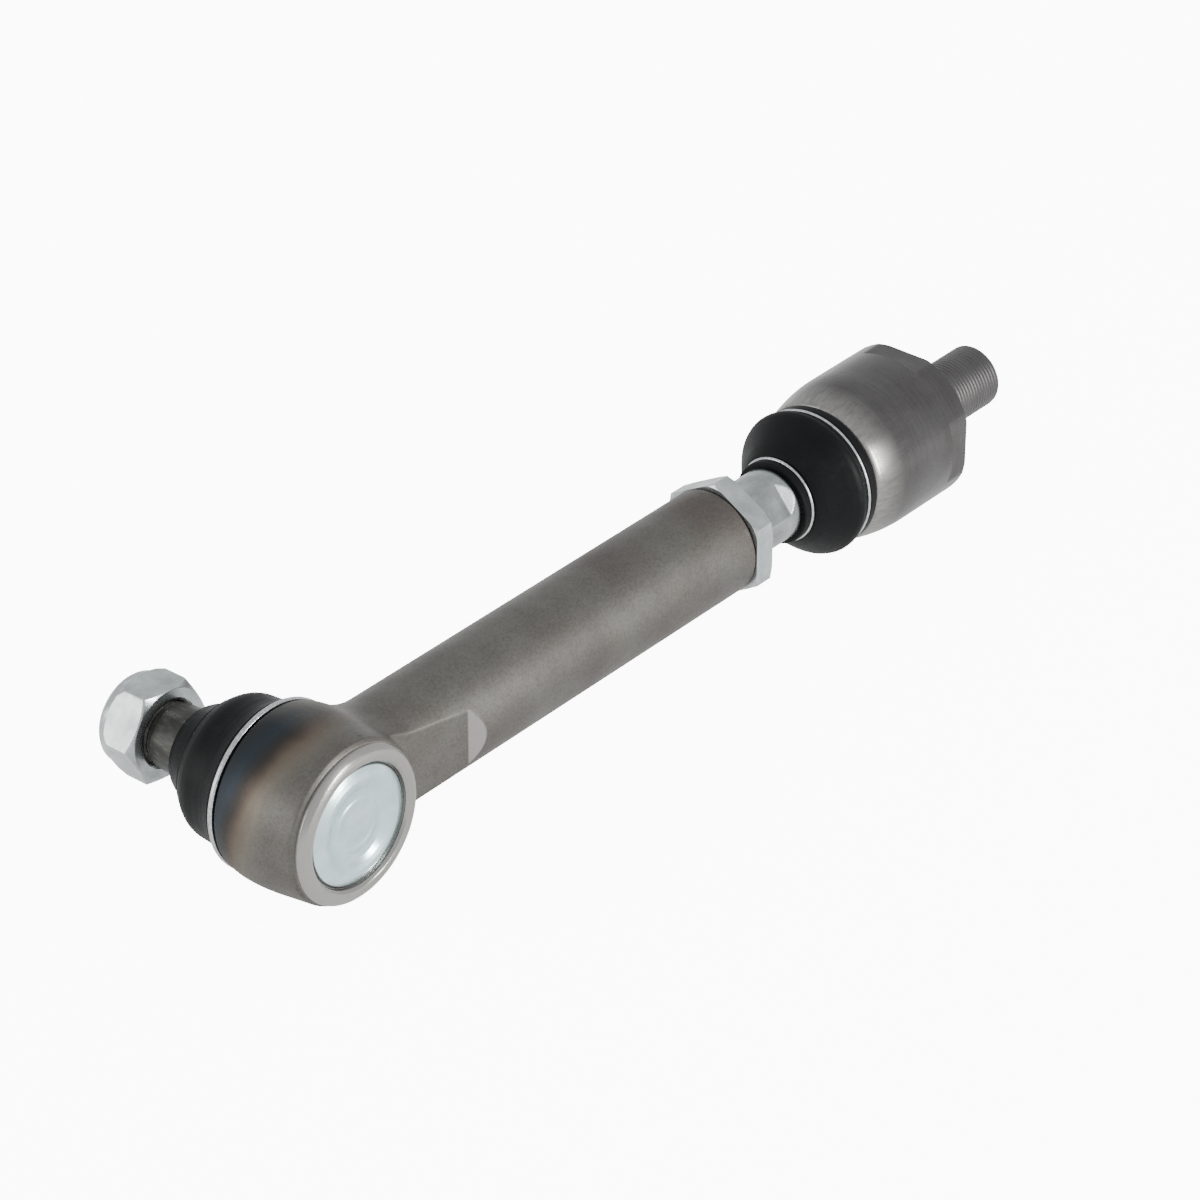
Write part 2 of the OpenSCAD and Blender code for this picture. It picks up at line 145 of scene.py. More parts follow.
def new_material(name):
    """An empty material with its shader and output, and its surface coordinates in metres."""
    material = bpy.data.materials.new(name)
    material.use_nodes = True
    tree = material.node_tree
    tree.nodes.clear()
    shader = add(tree, "ShaderNodeBsdfPrincipled")
    add(tree, "ShaderNodeOutputMaterial", {"Surface": shader.outputs["BSDF"]})
    where = add(tree, "ShaderNodeTexCoord").outputs["Object"]
    return material, tree, shader, where


def per(size_mm):
    """Texture scale at which one patch of a pattern is size_mm across."""
    return 1 / (size_mm * MM)


# Materials


def forged_steel():
    """Closed-die forged carbon steel, shot-blasted and oiled: a matt grey-brown skin with fine pits, rusty
    clouds and dark scale marks. The rolled lip and the run-out of the flats are bare and brighter. The wall
    below the boot ring is tempered blue and straw by the heat of closing the lip. The grit's pits are drawn
    0.9 mm apart, several times coarser than real ones, so that they show."""
    material, tree, shader, where = new_material("forged_steel_shot_blasted")
    clouds = add(tree, "ShaderNodeTexNoise", {
        "Vector": where, "Scale": per(24), "Detail": 4.0, "Roughness": 0.6})
    skin = add(tree, "ShaderNodeValToRGB", {"Fac": clouds.outputs["Fac"]},
               stops=((0.32, "#615d5a"), (0.70, "#706f6a"), (0.50, "#686662")))
    rust = add(tree, "ShaderNodeTexNoise", {
        "Vector": where, "Scale": per(40), "Detail": 3.0, "Distortion": 0.6})
    rusty = add(tree, "ShaderNodeMapRange", {
        "Value": rust.outputs["Fac"], "From Min": 0.52, "From Max": 0.74, "To Max": 0.6})
    stained = add(tree, "ShaderNodeMix", {
        0: rusty.outputs["Result"], 6: skin.outputs["Color"], 7: linear("#5f5551")}, data_type="RGBA")
    pits = add(tree, "ShaderNodeTexNoise", {
        "Vector": where, "Scale": per(0.9), "Detail": 3.0, "Roughness": 0.6})
    speckle = add(tree, "ShaderNodeValToRGB", {"Fac": pits.outputs["Fac"]},
                  stops=((0.30, "#d2cec9"), (0.62, "#ffffff")))
    pitted = add(tree, "ShaderNodeMix", {
        0: 0.6, 6: stained.outputs[2], 7: speckle.outputs["Color"]},
        data_type="RGBA", blend_type="MULTIPLY")
    scale = add(tree, "ShaderNodeTexNoise", {
        "Vector": where, "Scale": per(3.5), "Detail": 2.0, "Distortion": 1.2})
    marks = add(tree, "ShaderNodeMapRange", {
        "Value": scale.outputs["Fac"], "From Min": 0.70, "From Max": 0.78, "To Max": 0.55})
    marked = add(tree, "ShaderNodeMix", {
        0: marks.outputs["Result"], 6: pitted.outputs[2], 7: linear("#383533")}, data_type="RGBA")

    # Bare metal on the rolled lip, and on the run-out ramps of the two flats
    spot = add(tree, "ShaderNodeSeparateXYZ", {"Vector": where})
    lip = add(tree, "ShaderNodeMapRange", {
        "Value": spot.outputs["Y"], "From Min": LIP_START * MM, "From Max": (LIP_START - 0.8) * MM})
    across = add(tree, "ShaderNodeVectorMath", {0: where, 1: (0.0, 1.0, 1.0)}, operation="MULTIPLY")
    from_rod = add(tree, "ShaderNodeVectorMath", {0: across.outputs["Vector"]}, operation="LENGTH")
    below_round = add(tree, "ShaderNodeMapRange", {
        "Value": from_rod.outputs["Value"],
        "From Min": (BARREL_R - 0.05) * MM, "From Max": (BARREL_R - 0.25) * MM})
    past_flat = add(tree, "ShaderNodeMapRange", {
        "Value": spot.outputs["X"], "From Min": (FLAT_END - 0.4) * MM, "From Max": (FLAT_END + 0.2) * MM})
    before_bore = add(tree, "ShaderNodeMapRange", {
        "Value": spot.outputs["X"], "From Min": (FLAT_END + 7) * MM, "From Max": (FLAT_END + 6.5) * MM})
    on_ramp = add(tree, "ShaderNodeMath", {
        0: past_flat.outputs["Result"], 1: before_bore.outputs["Result"]}, operation="MULTIPLY")
    ramp = add(tree, "ShaderNodeMath", {
        0: on_ramp.outputs["Value"], 1: below_round.outputs["Result"]}, operation="MULTIPLY")
    bare = add(tree, "ShaderNodeMath", {
        0: lip.outputs["Result"], 1: ramp.outputs["Value"]}, operation="MAXIMUM")
    bright = add(tree, "ShaderNodeMix", {
        0: bare.outputs["Value"], 6: marked.outputs[2], 7: linear("#9c9a96")}, data_type="RGBA")

    # Temper colours on the side of the socket away from the neck, deepest next to the boot ring
    wander = add(tree, "ShaderNodeTexNoise", {"Vector": where, "Scale": per(16), "Detail": 2.0})
    drift = add(tree, "ShaderNodeMath", {
        0: wander.outputs["Fac"], 1: 7 * MM, 2: -5.2 * MM}, operation="MULTIPLY_ADD")
    lean = add(tree, "ShaderNodeMath", {0: spot.outputs["Z"], 1: 0.3, 2: drift.outputs["Value"]},
               operation="MULTIPLY_ADD")
    level = add(tree, "ShaderNodeMath", {0: spot.outputs["Y"], 1: lean.outputs["Value"]}, operation="ADD")
    heat = add(tree, "ShaderNodeMapRange", {
        "Value": level.outputs["Value"], "From Min": -12 * MM, "From Max": 15 * MM})
    temper = add(tree, "ShaderNodeValToRGB", {"Fac": heat.outputs["Result"]},
                 stops=((0.0, "#6f6b65"), (1.0, "#26292c"), (0.28, "#756e63"), (0.42, "#675d51"),
                        (0.52, "#4c433d"), (0.59, "#383431"), (0.66, "#303235"), (0.77, "#2c343b"),
                        (0.90, "#282e33")))
    strength = add(tree, "ShaderNodeMapRange", {
        "Value": heat.outputs["Result"], "From Min": 0.05, "From Max": 0.45})
    far_side = add(tree, "ShaderNodeMapRange", {
        "Value": spot.outputs["X"], "From Min": (STUD_X + 9) * MM, "From Max": (STUD_X - 7) * MM,
        "To Min": 0.22, "To Max": 0.95})
    on_socket = add(tree, "ShaderNodeMapRange", {
        "Value": spot.outputs["X"], "From Min": (STUD_X + 26) * MM, "From Max": (STUD_X + 14) * MM})
    reach = add(tree, "ShaderNodeMath", {
        0: far_side.outputs["Result"], 1: on_socket.outputs["Result"]}, operation="MULTIPLY")
    amount = add(tree, "ShaderNodeMath", {
        0: strength.outputs["Result"], 1: reach.outputs["Value"]}, operation="MULTIPLY")
    tinted = add(tree, "ShaderNodeMix", {
        0: amount.outputs["Value"], 6: bright.outputs[2], 7: temper.outputs["Color"]}, data_type="RGBA")
    tree.links.new(tinted.outputs[2], shader.inputs["Base Color"])

    rough = add(tree, "ShaderNodeMapRange", {
        "Value": clouds.outputs["Fac"], "From Min": 0.3, "From Max": 0.7, "To Min": 0.54, "To Max": 0.45})
    gloss = add(tree, "ShaderNodeMix", {0: bare.outputs["Value"], 2: rough.outputs["Result"], 3: 0.25})
    tree.links.new(gloss.outputs[0], shader.inputs["Roughness"])
    shader.inputs["Metallic"].default_value = 0.9
    dents = add(tree, "ShaderNodeTexNoise", {"Vector": where, "Scale": per(5), "Detail": 2.0})
    relief = add(tree, "ShaderNodeMath", {0: dents.outputs["Fac"], 1: 2.5, 2: pits.outputs["Fac"]},
                 operation="MULTIPLY_ADD")
    bump = add(tree, "ShaderNodeBump", {
        "Height": relief.outputs["Value"], "Strength": 0.3, "Distance": 0.1 * MM})
    tree.links.new(bump.outputs["Normal"], shader.inputs["Normal"])
    return material


def turned_steel():
    """Bare steel turned on a lathe, then swaged and oiled: faint rings round the axis over a soft grey
    shine. The swaging dies leave the front shoulder burnished, with streaks along the axis that fade towards
    the flats. The rings are drawn 0.35 mm apart, a little coarser than the real feed, so that they show."""
    material, tree, shader, where = new_material("turned_steel_oiled")
    stretch = add(tree, "ShaderNodeVectorMath", {
        0: where, 1: (per(0.35), per(14), per(14))}, operation="MULTIPLY")
    rings = add(tree, "ShaderNodeTexNoise", {
        "Vector": stretch.outputs["Vector"], "Scale": 1.0, "Detail": 3.0})
    clouds = add(tree, "ShaderNodeTexNoise", {
        "Vector": where, "Scale": per(16), "Detail": 4.0, "Roughness": 0.6})
    skin = add(tree, "ShaderNodeValToRGB", {"Fac": clouds.outputs["Fac"]},
               stops=((0.28, "#524f4e"), (0.74, "#636160"), (0.50, "#5b5959")))
    lines = add(tree, "ShaderNodeValToRGB", {"Fac": rings.outputs["Fac"]},
                stops=((0.35, "#dddbd9"), (0.60, "#ffffff")))
    ringed = add(tree, "ShaderNodeMix", {
        0: 0.5, 6: skin.outputs["Color"], 7: lines.outputs["Color"]},
        data_type="RGBA", blend_type="MULTIPLY")
    along = add(tree, "ShaderNodeVectorMath", {
        0: where, 1: (per(9), per(1.3), per(1.3))}, operation="MULTIPLY")
    rubs = add(tree, "ShaderNodeTexNoise", {
        "Vector": along.outputs["Vector"], "Scale": 1.0, "Detail": 4.0, "Roughness": 0.65})
    spot = add(tree, "ShaderNodeSeparateXYZ", {"Vector": where})
    shoulder = add(tree, "ShaderNodeMapRange", {
        "Value": spot.outputs["X"],
        "From Min": (HOUSING_FRONT + 13) * MM, "From Max": (HOUSING_FRONT + 1) * MM})
    rubbed = add(tree, "ShaderNodeMapRange", {
        "Value": rubs.outputs["Fac"], "From Min": 0.34, "From Max": 0.60, "To Min": 0.55, "To Max": 1.0})
    polish = add(tree, "ShaderNodeMath", {
        0: shoulder.outputs["Result"], 1: rubbed.outputs["Result"]}, operation="MULTIPLY")
    burnished = add(tree, "ShaderNodeMix", {
        0: polish.outputs["Value"], 6: ringed.outputs[2], 7: linear("#9b9996")}, data_type="RGBA")
    tree.links.new(burnished.outputs[2], shader.inputs["Base Color"])
    rough = add(tree, "ShaderNodeMapRange", {
        "Value": rubs.outputs["Fac"], "From Min": 0.3, "From Max": 0.7, "To Min": 0.30, "To Max": 0.23})
    on_spigot = add(tree, "ShaderNodeMapRange", {
        "Value": spot.outputs["X"], "From Min": 0.0, "From Max": 0.5 * MM})
    gloss = add(tree, "ShaderNodeMix", {
        0: on_spigot.outputs["Result"], 2: rough.outputs["Result"], 3: 0.42})
    tree.links.new(gloss.outputs[0], shader.inputs["Roughness"])
    shader.inputs["Metallic"].default_value = 0.95
    bump = add(tree, "ShaderNodeBump", {
        "Height": rings.outputs["Fac"], "Strength": 0.15, "Distance": 0.04 * MM})
    tree.links.new(bump.outputs["Normal"], shader.inputs["Normal"])
    return material


def zinc_plate(name, dark, middle, light, shaded_from=1000.0):
    """Zinc plating with a clear blue passivation: a cold pale grey with a soft, slightly clouded shine.
    Painted shade darkens it beyond a given distance out from the stud's axis, for the groove where the
    pressed cap meets the rolled lip."""
    material, tree, shader, where = new_material(name)
    clouds = add(tree, "ShaderNodeTexNoise", {
        "Vector": where, "Scale": per(7), "Detail": 5.0, "Roughness": 0.6})
    skin = add(tree, "ShaderNodeValToRGB", {"Fac": clouds.outputs["Fac"]},
               stops=((0.30, dark), (0.72, light), (0.52, middle)))
    off_axis = add(tree, "ShaderNodeVectorMath", {
        0: where, 1: (STUD_X * MM, 0.0, 0.0)}, operation="SUBTRACT")
    across = add(tree, "ShaderNodeVectorMath", {
        0: off_axis.outputs["Vector"], 1: (1.0, 0.0, 1.0)}, operation="MULTIPLY")
    out = add(tree, "ShaderNodeVectorMath", {0: across.outputs["Vector"]}, operation="LENGTH")
    # Painted shade: past the given distance from the stud's axis the colour is darkened, for the groove
    # where the cap meets the rolled lip
    groove_shade = add(tree, "ShaderNodeMapRange", {
        "Value": out.outputs["Value"], "From Min": shaded_from * MM, "From Max": (shaded_from + 0.3) * MM})
    shaded_skin = add(tree, "ShaderNodeMix", {
        0: groove_shade.outputs["Result"], 6: skin.outputs["Color"], 7: linear("#7b7874")}, data_type="RGBA")
    tree.links.new(shaded_skin.outputs[2], shader.inputs["Base Color"])
    rough = add(tree, "ShaderNodeMapRange", {
        "Value": clouds.outputs["Fac"], "From Min": 0.3, "From Max": 0.7, "To Min": 0.30, "To Max": 0.20})
    tree.links.new(rough.outputs["Result"], shader.inputs["Roughness"])
    shader.inputs["Metallic"].default_value = 0.92
    nicks = add(tree, "ShaderNodeTexNoise", {
        "Vector": where, "Scale": per(1.6), "Detail": 4.0, "Roughness": 0.65})
    bump = add(tree, "ShaderNodeBump", {
        "Height": nicks.outputs["Fac"], "Strength": 0.25, "Distance": 0.05 * MM})
    tree.links.new(bump.outputs["Normal"], shader.inputs["Normal"])
    return material


def phosphated_steel():
    """Ground steel with a dark phosphate coat under oil: grey-green, with faint worn streaks along it."""
    material, tree, shader, where = new_material("phosphated_stud_steel")
    stretch = add(tree, "ShaderNodeVectorMath", {
        0: where, 1: (per(1.6), per(5), per(1.6))}, operation="MULTIPLY")
    streaks = add(tree, "ShaderNodeTexNoise", {
        "Vector": stretch.outputs["Vector"], "Scale": 1.0, "Detail": 4.0})
    skin = add(tree, "ShaderNodeValToRGB", {"Fac": streaks.outputs["Fac"]},
               stops=((0.34, "#3a3a37"), (0.74, "#5d5d57"), (0.54, "#464643")))
    tree.links.new(skin.outputs["Color"], shader.inputs["Base Color"])
    shader.inputs["Metallic"].default_value = 0.8
    shader.inputs["Roughness"].default_value = 0.42
    grain = add(tree, "ShaderNodeTexNoise", {"Vector": where, "Scale": per(0.7), "Detail": 2.0})
    bump = add(tree, "ShaderNodeBump", {
        "Height": grain.outputs["Fac"], "Strength": 0.25, "Distance": 0.05 * MM})
    tree.links.new(bump.outputs["Normal"], shader.inputs["Normal"])
    return material


def spring_wire():
    """Drawn spring steel: bright, with the faint uneven shine that the die leaves."""
    material, tree, shader, where = new_material("drawn_spring_steel")
    lines = add(tree, "ShaderNodeTexNoise", {"Vector": where, "Scale": per(0.8), "Detail": 3.0})
    skin = add(tree, "ShaderNodeValToRGB", {"Fac": lines.outputs["Fac"]},
               stops=((0.35, "#a6a8a9"), (0.65, "#d2d3d3")))
    tree.links.new(skin.outputs["Color"], shader.inputs["Base Color"])
    shader.inputs["Metallic"].default_value = 1.0
    shader.inputs["Roughness"].default_value = 0.26
    bump = add(tree, "ShaderNodeBump", {
        "Height": lines.outputs["Fac"], "Strength": 0.15, "Distance": 0.02 * MM})
    tree.links.new(bump.outputs["Normal"], shader.inputs["Normal"])
    return material


def hardened_steel():
    """Oil-hardened spring steel of the hidden disc springs and washer: dark blue-grey, slightly cloudy."""
    material, tree, shader, where = new_material("oil_hardened_steel")
    clouds = add(tree, "ShaderNodeTexNoise", {"Vector": where, "Scale": per(6), "Detail": 4.0})
    skin = add(tree, "ShaderNodeValToRGB", {"Fac": clouds.outputs["Fac"]},
               stops=((0.3, "#33363b"), (0.7, "#5a5e64")))
    tree.links.new(skin.outputs["Color"], shader.inputs["Base Color"])
    shader.inputs["Metallic"].default_value = 0.9
    shader.inputs["Roughness"].default_value = 0.4
    return material


def moulded_rubber():
    """Compression-moulded nitrile rubber: soot black and satin, with a fine mould grain and some bloom."""
    material, tree, shader, where = new_material("moulded_nitrile_rubber")
    bloom = add(tree, "ShaderNodeTexNoise", {
        "Vector": where, "Scale": per(9), "Detail": 5.0, "Roughness": 0.65})
    skin = add(tree, "ShaderNodeValToRGB", {"Fac": bloom.outputs["Fac"]},
               stops=((0.35, "#090a0b"), (0.75, "#17181a"), (0.58, "#0e0f10")))
    tree.links.new(skin.outputs["Color"], shader.inputs["Base Color"])
    rough = add(tree, "ShaderNodeMapRange", {
        "Value": bloom.outputs["Fac"], "From Min": 0.3, "From Max": 0.7, "To Min": 0.40, "To Max": 0.55})
    tree.links.new(rough.outputs["Result"], shader.inputs["Roughness"])
    shader.inputs["Specular IOR Level"].default_value = 0.13
    grain = add(tree, "ShaderNodeTexNoise", {"Vector": where, "Scale": per(0.8), "Detail": 3.0})
    bump = add(tree, "ShaderNodeBump", {
        "Height": grain.outputs["Fac"], "Strength": 0.3, "Distance": 0.05 * MM})
    tree.links.new(bump.outputs["Normal"], shader.inputs["Normal"])
    return material


def moulded_plastic(name, dark, light):
    """Injection-moulded acetal or nylon in its natural colour: milky, faintly uneven and softly glossy."""
    material, tree, shader, where = new_material(name)
    clouds = add(tree, "ShaderNodeTexNoise", {"Vector": where, "Scale": per(8), "Detail": 3.0})
    skin = add(tree, "ShaderNodeValToRGB", {"Fac": clouds.outputs["Fac"]},
               stops=((0.3, dark), (0.7, light)))
    tree.links.new(skin.outputs["Color"], shader.inputs["Base Color"])
    shader.inputs["Roughness"].default_value = 0.42
    shader.inputs["IOR"].default_value = 1.48
    return material


def lit_acrylic():
    """White acrylic table lit from below: even and almost free of shadows, and brighter to the camera than
    it is in the reflections on the metal."""
    material, tree, shader, where = new_material("lit_white_acrylic")
    haze = add(tree, "ShaderNodeTexNoise", {"Vector": where, "Scale": per(300), "Detail": 1.0})
    skin = add(tree, "ShaderNodeValToRGB", {"Fac": haze.outputs["Fac"]},
               stops=((0.3, "#e4e4e4"), (0.7, "#e8e8e8")))
    tree.links.new(skin.outputs["Color"], shader.inputs["Base Color"])
    shader.inputs["Roughness"].default_value = 0.9
    shader.inputs["Specular IOR Level"].default_value = 0.0
    shader.inputs["Emission Color"].default_value = linear("#ffffff")
    seen = add(tree, "ShaderNodeLightPath")
    glow = add(tree, "ShaderNodeMath", {
        0: seen.outputs["Is Camera Ray"], 1: 10.0, 2: 0.5}, operation="MULTIPLY_ADD")
    tree.links.new(glow.outputs["Value"], shader.inputs["Emission Strength"])
    return material


FORGED = forged_steel()
TURNED = turned_steel()
ZINC = zinc_plate("zinc_plated_steel", "#a2a8a8", "#b7bdbd", "#ced2d2")
WORN_ZINC = zinc_plate("worn_zinc_plated_steel", "#878c8c", "#a0a5a5", "#bcc0c0")
# The pressed cap gets painted shade beyond 19.2 mm from the stud's axis, in the groove under the rolled lip
BRIGHT_ZINC = zinc_plate("bright_zinc_plated_steel", "#bfd3d7", "#cce0e3", "#d9ebed", shaded_from=19.2)
PHOSPHATED = phosphated_steel()
WIRE = spring_wire()
HARDENED = hardened_steel()
RUBBER = moulded_rubber()
ACETAL = moulded_plastic("moulded_acetal", "#d6d0bd", "#e2ddcc")
NYLON = moulded_plastic("moulded_nylon", "#e2dfd4", "#efede6")


# Shapes


def outline(corners, step=0.7):
    """Profile points from corners (along, radius) or (along, radius, rounding), with every run split into
    pieces no longer than the step."""
    points = [np.array(c[:2], float) for c in corners]
    dense = []
    for i, corner in enumerate(corners):
        here = points[i]
        rounding = corner[2] if len(corner) > 2 else 0
        if rounding and 0 < i < len(corners) - 1:
            back = points[i - 1] - here
            ahead = points[i + 1] - here
            back_length, ahead_length = np.linalg.norm(back), np.linalg.norm(ahead)
            back, ahead = back / back_length, ahead / ahead_length
            half = math.acos(np.clip(back @ ahead, -1, 1)) / 2
            setback = min(rounding / math.tan(half), back_length * 0.49, ahead_length * 0.49)
            radius = setback * math.tan(half)
            middle = (back + ahead) / np.linalg.norm(back + ahead)
            centre = here + middle * radius / math.sin(half)
            start = here + back * setback - centre
            end = here + ahead * setback - centre
            turn = math.pi - 2 * half
            count = max(3, math.ceil(turn / math.radians(12)))
            for k in range(count + 1):
                f = k / count
                bent = (math.sin((1 - f) * turn) * start + math.sin(f * turn) * end) / math.sin(turn)
                dense.append(centre + bent)
        else:
            dense.append(here)
    rows = [dense[0]]
    for a, b in zip(dense, dense[1:]):
        pieces = max(1, math.ceil(np.linalg.norm(b - a) / step))
        rows += [a + (b - a) * k / pieces for k in range(1, pieces + 1)]
    return np.array(rows)


def about_stud(along, radius, turn):
    """Points in the row frame from places about the stud's axis; turn runs from +X to +Z."""
    return np.stack([STUD_X + radius * np.cos(turn), along + 0 * turn, radius * np.sin(turn)], -1)


def about_rod(along, radius, turn):
    """Points in the row frame from places about the rod's axis; turn runs from +Y to +Z."""
    return np.stack([along + 0 * turn, radius * np.cos(turn), radius * np.sin(turn)], -1)


def finish_mesh(mesh, faces_angle=35):
    """Welds poles and seams, turns the faces outwards and smooths all but real edges."""
    work = bmesh.new()
    work.from_mesh(mesh)
    bmesh.ops.remove_doubles(work, verts=work.verts, dist=0.0005)
    bmesh.ops.dissolve_degenerate(work, edges=work.edges, dist=0.0002)
    bmesh.ops.recalc_face_normals(work, faces=work.faces)
    work.to_mesh(mesh)
    work.free()
    mesh.transform(Matrix.Scale(MM, 4))
    mesh.polygons.foreach_set("use_smooth", [True] * len(mesh.polygons))
    mesh.set_sharp_from_angle(angle=math.radians(faces_angle))


def place(name, mesh, material, slot, replaced, body):
    """Makes the object of a finished mesh, gives it its finish and lets it stand for its CAD node. A boot
    has no body of its own here."""
    piece = bpy.data.objects.new(name, mesh)
    bpy.context.scene.collection.objects.link(piece)
    mesh.materials.append(material)
    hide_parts(replaced)
    if body:
        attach(piece, body)
    return piece


def lathe(name, rows, about, cut=None, columns=256, closed=False):
    """A mesh turned from profile rows; cut may lower the radius by place along and turn."""
    turn = np.arange(columns) * 2 * math.pi / columns
    along = np.repeat(rows[:, :1], columns, 1)
    radius = np.repeat(rows[:, 1:2], columns, 1)
    angles = np.repeat(turn[None, :], len(rows), 0)
    if cut is not None:
        radius = cut(along, radius, angles)
    grid = about(along, radius, angles)
    count = len(rows)
    faces = []
    for i in range(count if closed else count - 1):
        low, high = i * columns, (i + 1) % count * columns
        for j in range(columns):
            k = (j + 1) % columns
            faces.append((low + j, low + k, high + k, high + j))
    mesh = bpy.data.meshes.new(name)
    mesh.from_pydata(grid.reshape(-1, 3).tolist(), [], faces)
    finish_mesh(mesh)
    return mesh


def soft_min(a, b, blend):
    """The smaller of two values, rounded over where they meet."""
    near = np.maximum(blend - np.abs(a - b), 0) / blend
    return np.minimum(a, b) - near * near * blend / 4


def hexagon_radius(turn, flats, first_flat):
    """Radius of a hexagon at each turn; first_flat is the turn at the middle of one flat."""
    wedge = 2 * math.pi / 6
    off = (turn - first_flat + wedge / 2) % wedge - wedge / 2
    return flats / 2 / np.cos(off)


def thread_groove(along, turn):
    """How deep the groove of a 60-degree thread is at each place, from 0 on the crest to 1 at the root.
    Crest and root are each flat over about 0.15 of the pitch."""
    phase = (along / PITCH - turn / (2 * math.pi)) % 1
    return np.clip(1.22 - np.abs(phase - 0.5) * 2.9, 0, 1)


def thread_cut(major, start, end, depth=THREAD_DEPTH):
    """Lowers the radius to a thread between start and end, fading out at both."""
    def cut(along, radius, turn):
        inside = np.clip((along - start) / THREAD_FADE, 0, 1) * np.clip((end - along) / THREAD_FADE, 0, 1)
        threaded = major - depth * thread_groove(along, turn) * inside
        return np.minimum(radius, threaded + (1 - np.sign(inside)) * 100)
    return cut


# Forging: socket, neck and barrel in one skin


def neck_half(x):
    """Half thickness of the neck between its planed flats at a place along the rod."""
    sloped = FLAT_HALF - (FLAT_END - x) * FLAT_SLOPE
    ramp = FLAT_HALF + (x - FLAT_END) * FLAT_RAMP
    return np.where(x < FLAT_END, sloped, ramp)


SOCKET_OUTSIDE = (
    (-18.2, 20.5), (-18.2, 22.9), (-21.3, 22.9), (-21.3, 20.2), (-21.6, 20.2), (-22.5, 20.95, 0.6),
    (-22.85, 22.3, 1.8), (-22.2, 24.1, 1.8), (-20.95, 25.35, 0.9), (-20.2, 25.5, 0.4), (-19.6, 24.5, 0.25),
    (-19.1, 25.5, 0.3), (-18.3, 26.5, 1.0), (-14.0, 27.0, 20), (-6.0, 28.0, 40), (0.0, WALL_R, 60),
    (6.0, 28.3, 40), (10.4, 27.4, 2), (SHOULDER_Y, SHOULDER_R), (SHOULDER_Y, 24.3), (15.2, 24.3),
    (16.0, 23.5), (16.0, 18.0), (11.8, 15.7), (10.8, 15.7), (8.6, 20.5), (-18.2, 20.5),
)
SOCKET_ROWS = outline(SOCKET_OUTSIDE, 0.6)[:-1]
SOCKET_WALL = SOCKET_ROWS[(SOCKET_ROWS[:, 1] > SHOULDER_R - 0.01) & (SOCKET_ROWS[:, 0] > -18.5)]


def ease(f):
    """A smooth step from 0 to 1."""
    f = np.clip(f, 0, 1)
    return f * f * (3 - 2 * f)


def wall_radius(y):
    """Radius of the socket's outer wall at a place along the stud."""
    return np.interp(y, SOCKET_WALL[:, 0], SOCKET_WALL[:, 1])


def plan_gap(x, y, z):
    """How far a place lies outside socket, side fillets and neck, looking along the stud."""
    wall = wall_radius(y)
    half = np.sqrt(np.maximum(BARREL_R ** 2 - y ** 2, 0.01))
    centre_z = half + NECK_FILLET
    centre_x = np.sqrt((wall + NECK_FILLET) ** 2 - centre_z ** 2)
    out = np.abs(z)
    fillet = NECK_FILLET - np.hypot(x - centre_x, out - centre_z)
    on_wall = np.hypot(x, z) - wall
    return np.where(x >= centre_x, out - half, np.where(out * centre_x < x * centre_z, fillet, on_wall))


def reach_until(outside, columns):
    """Distance from the rod's axis at which each ray first lies outside, by halving."""
    furthest = 27.0
    low, high = np.zeros(columns), np.full(columns, furthest)
    for _ in range(32):
        middle = (low + high) / 2
        out = outside(middle)
        low, high = np.where(out, low, middle), np.where(out, middle, high)
    return (low + high) / 2


def neck_row(gap, turn, top_y=None):
    """Ring of points round the neck at one gap from the socket's wall, and how far the face on the stud's
    side cuts in from the round sides."""
    squared = ease((gap - 3) / (NECK_END - 3))

    def spot(reach):
        y, z = reach * np.cos(turn), reach * np.sin(turn)
        bowed = np.sqrt(np.maximum((wall_radius(y) + gap) ** 2 - z ** 2, 1))
        return bowed + (WALL_R + gap - bowed) * squared, y, z

    def past_sides(reach):
        return plan_gap(*spot(reach)) > -1e-4

    def past_faces(reach):
        x, y, z = spot(reach)
        web = max(FOOT_FILLET - gap, 0)
        foot = FOOT_FILLET - math.sqrt(FOOT_FILLET ** 2 - web ** 2)
        face = neck_half(STUD_X + x)
        return np.where(y > 0, y > (top_y or face), -y > face + foot)
    sides, faces = reach_until(past_sides, len(turn)), reach_until(past_faces, len(turn))
    reach = soft_min(sides, faces, 0.02 + EDGE_ROUNDING * ease(gap / 3))
    x, y, z = spot(reach)
    return np.stack([STUD_X + x, y, z], -1), np.where(np.cos(turn) > 0, sides - faces, 0)


